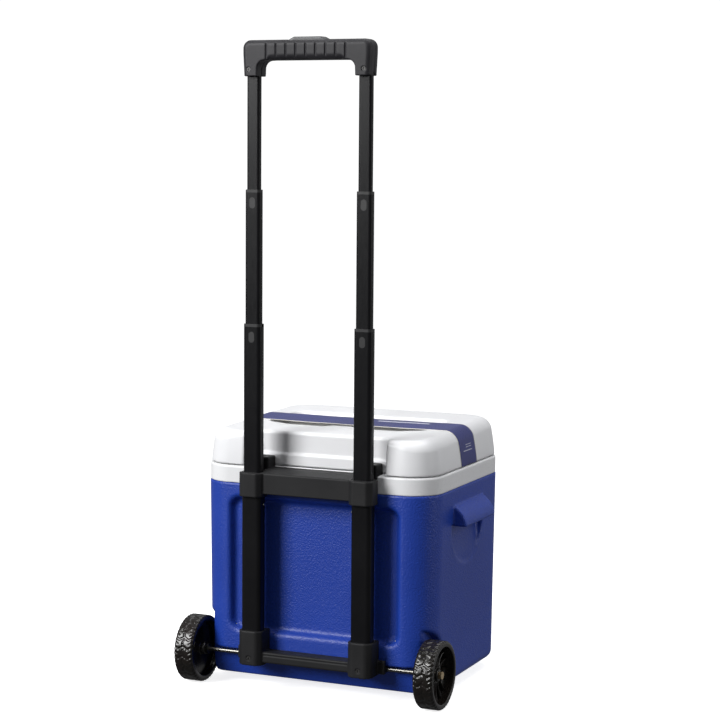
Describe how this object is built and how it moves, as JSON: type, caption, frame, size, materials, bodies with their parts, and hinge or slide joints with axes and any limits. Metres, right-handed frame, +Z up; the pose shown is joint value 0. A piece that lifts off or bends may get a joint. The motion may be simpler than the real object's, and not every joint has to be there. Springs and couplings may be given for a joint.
{
  "type": "wheeled cooler box",
  "caption": "Insulated cooler box with a lift-off lid, side grips, rear wheels on an axle rod and a telescoping pull handle with a release button.",
  "frame": {"origin": "centre of the footprint, on the ground under the wheels and the front feet", "axes": "+Z up, +X to the right seen from the pull-handle side, +Y from the pull handle towards the front of the box"},
  "size_m": [0.415, 0.351, 0.96],
  "materials": {
    "shell_blue": "royal blue polyethylene with a fine pebble grain",
    "rigid_foam": "rigid polyurethane foam, pale yellow",
    "liner_white": "white polypropylene, satin gloss",
    "lid_white": "white polypropylene, satin gloss",
    "foot_rubber": "black moulded rubber",
    "bracket_black": "black nylon, satin",
    "bush_black": "black acetal, satin",
    "grip_black": "black plastic, fine texture",
    "button_black": "black plastic, semi-gloss",
    "link_white": "natural nylon",
    "tube_black": "black satin coating on aluminium tube",
    "zinc_steel": "zinc-plated steel",
    "black_steel": "black-oxide steel screws",
    "cap_brass": "yellow-passivated push-on cap",
    "wheel_black": "black polypropylene, semi-gloss",
    "band_card": "indigo printed card, satin"
  },
  "bodies": {
    "cooler": {"outer_shell": "shell_blue", "foam_core": "rigid_foam", "inner_liner": "liner_white", "front_foot_left": "foot_rubber", "front_foot_right": "foot_rubber", "upper_bracket": "bracket_black", "lower_bracket": "bracket_black", "upper_screws": "zinc_steel", "lower_screws": "black_steel", "outer_tube_left": "tube_black", "outer_tube_right": "tube_black", "outer_bush_left": "bush_black", "outer_bush_right": "bush_black", "outer_lock_pins": "zinc_steel", "axle_rod": "zinc_steel", "axle_washers": "zinc_steel", "hub_cap_left": "cap_brass", "hub_cap_right": "cap_brass"},
    "wheel_left": {"wheel_left": "wheel_black"},
    "wheel_right": {"wheel_right": "wheel_black"},
    "lid": {"lid_cover": "lid_white", "lid_foam": "rigid_foam", "lid_liner": "liner_white", "label_band": "band_card"},
    "stage1": {"stage1_tube_left": "tube_black", "stage1_tube_right": "tube_black", "stage1_bush_left": "bush_black", "stage1_bush_right": "bush_black", "stage1_plug_left": "bush_black", "stage1_plug_right": "bush_black"},
    "stage2": {"stage2_tube_left": "tube_black", "stage2_tube_right": "tube_black", "stage2_bush_left": "bush_black", "stage2_bush_right": "bush_black", "stage2_plug_left": "bush_black", "stage2_plug_right": "bush_black", "stage2_lock_pins": "zinc_steel"},
    "stage3": {"stage3_tube_left": "tube_black", "stage3_tube_right": "tube_black", "stage3_plug_left": "bush_black", "stage3_plug_right": "bush_black", "grip_outer_shell": "grip_black", "grip_inner_shell": "grip_black", "grip_screws": "black_steel", "button_springs": "zinc_steel"},
    "button": {"release_button": "button_black", "release_link": "link_white", "release_rod_left": "zinc_steel", "release_rod_right": "zinc_steel"}
  },
  "joints": [
    {"name": "wheel_left_spin", "type": "hinge", "parent": "cooler", "child": "wheel_left", "pos_m": [-0.192, -0.1255, 0.05], "axis": [1, 0, 0], "continuous": true},
    {"name": "wheel_right_spin", "type": "hinge", "parent": "cooler", "child": "wheel_right", "pos_m": [0.192, -0.1255, 0.05], "axis": [1, 0, 0], "continuous": true},
    {"name": "lid_lift", "type": "slide", "parent": "cooler", "child": "lid", "axis": [0, 0, 1], "range_m": [0, 0.12]},
    {"name": "stage1_slide", "type": "slide", "parent": "cooler", "child": "stage1", "axis": [0, 0, 1], "range_m": [-0.217, 0]},
    {"name": "stage2_slide", "type": "slide", "parent": "stage1", "child": "stage2", "axis": [0, 0, 1], "range_m": [-0.19, 0]},
    {"name": "stage3_slide", "type": "slide", "parent": "stage2", "child": "stage3", "axis": [0, 0, 1], "range_m": [-0.158, 0]},
    {"name": "button_press", "type": "slide", "parent": "stage3", "child": "button", "axis": [0, 0, -1], "range_m": [0, 0.004], "stiffness_N_per_m": 800, "springref_m": -0.006}
  ]
}
